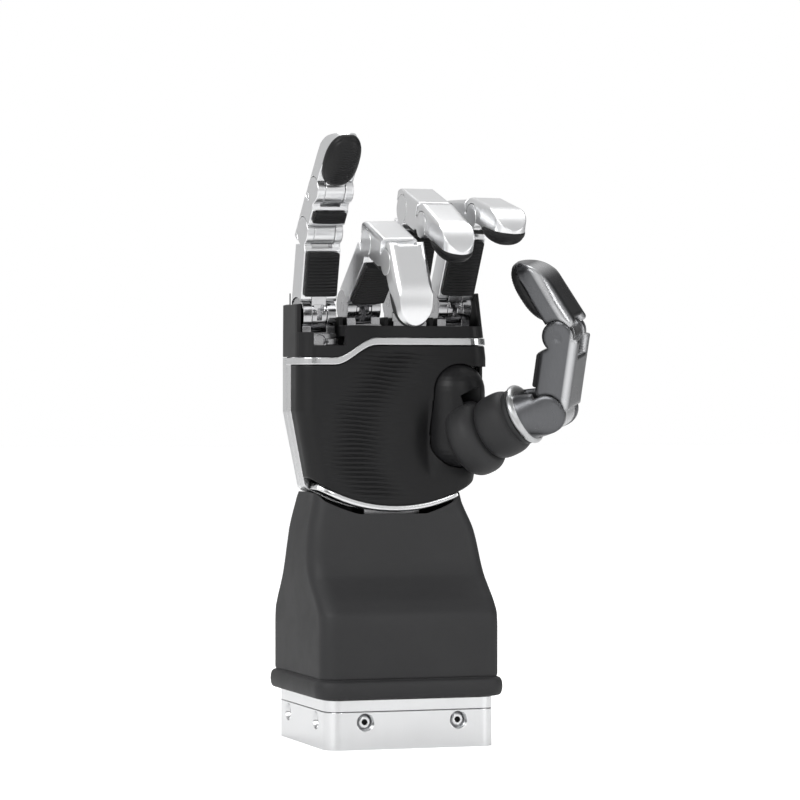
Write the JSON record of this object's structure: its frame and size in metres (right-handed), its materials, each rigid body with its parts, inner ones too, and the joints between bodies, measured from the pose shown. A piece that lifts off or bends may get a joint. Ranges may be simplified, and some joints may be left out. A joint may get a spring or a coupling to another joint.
{
  "type": "dexterous robot hand",
  "caption": "Human-like right robot hand on a square wrist housing, with jointed fingers, a swinging thumb, ribbed rubber grip pads and rubber boots at the wrist and thumb.",
  "frame": {"origin": "centre of the arm flange, on the face that bolts to the arm", "axes": "+Z from the arm toward the fingers, the palm faces -Y, the thumb is at +X"},
  "size_m": [0.1216, 0.1248, 0.269],
  "materials": {
    "silver_shell": "satin pearl silver",
    "steel": "polished",
    "gunmetal": "satin dark grey",
    "grip_rubber": "matte, ribbed",
    "boot_rubber": "matte",
    "black_cover": "satin"
  },
  "bodies": {
    "base": {"wrist_housing": "silver_shell", "clamp_ring": "silver_shell", "housing_screws": "steel", "wrist_boot": "boot_rubber"},
    "wrist_link": {"wrist_cross": "steel"},
    "palm": {"palm_chassis": "steel", "palm_frame": "silver_shell", "palm_pad": "grip_rubber", "back_cover": "silver_shell", "knuckle_cover": "black_cover", "wrist_cuff": "boot_rubber"},
    "little_root": {"little_knuckle": "steel"},
    "little_proximal": {"little_proximal_frame": "steel", "little_proximal_shell": "silver_shell", "little_proximal_pad": "grip_rubber", "little_proximal_pins": "steel"},
    "little_middle": {"little_middle_shell": "silver_shell", "little_middle_pad": "grip_rubber", "little_dip_pin": "steel"},
    "little_distal": {"little_distal_shell": "silver_shell", "little_fingertip_pad": "grip_rubber"},
    "ring_root": {"ring_knuckle": "steel"},
    "ring_proximal": {"ring_proximal_frame": "steel", "ring_proximal_shell": "silver_shell", "ring_proximal_pad": "grip_rubber", "ring_proximal_pins": "steel"},
    "ring_middle": {"ring_middle_shell": "silver_shell", "ring_middle_pad": "grip_rubber", "ring_dip_pin": "steel"},
    "ring_distal": {"ring_distal_shell": "silver_shell", "ring_fingertip_pad": "grip_rubber"},
    "middle_root": {"middle_knuckle": "steel"},
    "middle_proximal": {"middle_proximal_frame": "steel", "middle_proximal_shell": "silver_shell", "middle_proximal_pad": "grip_rubber", "middle_proximal_pins": "steel"},
    "middle_middle": {"middle_middle_shell": "silver_shell", "middle_middle_pad": "grip_rubber", "middle_dip_pin": "steel"},
    "middle_distal": {"middle_distal_shell": "silver_shell", "middle_fingertip_pad": "grip_rubber"},
    "index_root": {"index_knuckle": "steel"},
    "index_proximal": {"index_proximal_frame": "steel", "index_proximal_shell": "silver_shell", "index_proximal_pad": "grip_rubber", "index_proximal_pins": "steel"},
    "index_middle": {"index_middle_shell": "silver_shell", "index_middle_pad": "grip_rubber", "index_dip_pin": "steel"},
    "index_distal": {"index_distal_shell": "silver_shell", "index_fingertip_pad": "grip_rubber"},
    "thumb_carriage": {"thumb_carrier": "black_cover", "thumb_boot": "boot_rubber"},
    "thumb_metacarpus": {"thumb_metacarpal": "gunmetal", "thumb_root_pins": "steel"},
    "thumb_proximal": {"thumb_proximal_shell": "gunmetal", "thumb_proximal_pad": "grip_rubber", "thumb_ip_pin": "steel"},
    "thumb_distal": {"thumb_distal_shell": "gunmetal", "thumb_tip_pad": "grip_rubber"}
  },
  "joints": [
    {"name": "wrist_flexion", "type": "hinge", "parent": "base", "child": "wrist_link", "pos_m": [0, 0, 0.072], "axis": [1, 0, 0], "range_deg": [-30, 30], "deforming": ["wrist_boot", "wrist_cuff"]},
    {"name": "wrist_deviation", "type": "hinge", "parent": "wrist_link", "child": "palm", "pos_m": [0, 0, 0.072], "axis": [0, 1, 0], "range_deg": [-15, 15], "deforming": ["wrist_boot", "wrist_cuff"]},
    {"name": "little_splay", "type": "hinge", "parent": "palm", "child": "little_root", "pos_m": [-0.0344, -0.004, 0.179], "axis": [-0.0872, 0.9962, 0], "range_deg": [-1.5, 1.5]},
    {"name": "little_mcp", "type": "hinge", "parent": "little_root", "child": "little_proximal", "pos_m": [-0.03461, -0.00402, 0.191], "axis": [0.996, 0.0871, 0.0175], "range_deg": [-14, 66]},
    {"name": "little_pip", "type": "hinge", "parent": "little_proximal", "child": "little_middle", "pos_m": [-0.03445, -0.01323, 0.22786], "axis": [0.996, 0.0871, 0.0175], "range_deg": [-24, 68]},
    {"name": "little_dip", "type": "hinge", "parent": "little_middle", "child": "little_distal", "pos_m": [-0.03357, -0.02675, 0.2452], "axis": [0.996, 0.0871, 0.0175], "range_deg": [-2, 43]},
    {"name": "ring_splay", "type": "hinge", "parent": "palm", "child": "ring_root", "pos_m": [-0.0132, -0.004, 0.183], "axis": [-0.0436, 0.999, 0], "range_deg": [-1.5, 1.5]},
    {"name": "ring_mcp", "type": "hinge", "parent": "ring_root", "child": "ring_proximal", "pos_m": [-0.01362, -0.00402, 0.19499], "axis": [0.9984, 0.0436, 0.0349], "range_deg": [-52, 33]},
    {"name": "ring_pip", "type": "hinge", "parent": "ring_proximal", "child": "ring_middle", "pos_m": [-0.01305, -0.0387, 0.22207], "axis": [0.9984, 0.0436, 0.0349], "range_deg": [-60, 35]},
    {"name": "ring_dip", "type": "hinge", "parent": "ring_middle", "child": "ring_distal", "pos_m": [-0.01169, -0.06231, 0.21252], "axis": [0.9984, 0.0436, 0.0349], "range_deg": [-45, 5]},
    {"name": "middle_splay", "type": "hinge", "parent": "palm", "child": "middle_root", "pos_m": [0.008, -0.004, 0.185], "axis": [-0.0349, 0.9994, 0], "range_deg": [-1.5, 1.5]},
    {"name": "middle_mcp", "type": "hinge", "parent": "middle_root", "child": "middle_proximal", "pos_m": [0.008, -0.004, 0.197], "axis": [0.9994, 0.0349, 0], "range_deg": [-25, 60]},
    {"name": "middle_pip", "type": "hinge", "parent": "middle_proximal", "child": "middle_middle", "pos_m": [0.00866, -0.02301, 0.23778], "axis": [0.9994, 0.0349, 0], "range_deg": [-84, 11]},
    {"name": "middle_dip", "type": "hinge", "parent": "middle_middle", "child": "middle_distal", "pos_m": [0.00951, -0.0471, 0.22948], "axis": [0.9994, 0.0349, 0], "range_deg": [-6, 44]},
    {"name": "index_splay", "type": "hinge", "parent": "palm", "child": "index_root", "pos_m": [0.0292, -0.004, 0.1825], "axis": [-0.0349, 0.9994, 0], "range_deg": [-1.5, 1.5]},
    {"name": "index_mcp", "type": "hinge", "parent": "index_root", "child": "index_proximal", "pos_m": [0.0293, -0.004, 0.1945], "axis": [0.9994, 0.0349, -0.0087], "range_deg": [-29, 51]},
    {"name": "index_pip", "type": "hinge", "parent": "index_proximal", "child": "index_middle", "pos_m": [0.03041, -0.02579, 0.23386], "axis": [0.9994, 0.0349, -0.0087], "range_deg": [-63, 29]},
    {"name": "index_dip", "type": "hinge", "parent": "index_middle", "child": "index_distal", "pos_m": [0.03129, -0.05126, 0.23297], "axis": [0.9994, 0.0349, -0.0087], "range_deg": [-12, 33]},
    {"name": "thumb_swing", "type": "hinge", "parent": "palm", "child": "thumb_carriage", "pos_m": [0.029, -0.014, 0.146], "axis": [0, 0, 1], "range_deg": [-8, 45], "deforming": ["thumb_boot"]},
    {"name": "thumb_root", "type": "hinge", "parent": "thumb_carriage", "child": "thumb_metacarpus", "pos_m": [0.0352, -0.0231, 0.136], "axis": [0.6429, 0.7396, 0.1994], "range_deg": [-8, 20], "deforming": ["thumb_boot"]},
    {"name": "thumb_mcp", "type": "hinge", "parent": "thumb_metacarpus", "child": "thumb_proximal", "pos_m": [0.062, -0.04971, 0.14831], "axis": [0.6429, 0.7396, 0.1994], "range_deg": [-5, 53]},
    {"name": "thumb_ip", "type": "hinge", "parent": "thumb_proximal", "child": "thumb_distal", "pos_m": [0.06326, -0.05997, 0.18227], "axis": [0.6429, 0.7396, 0.1994], "range_deg": [-22, 43]}
  ]
}
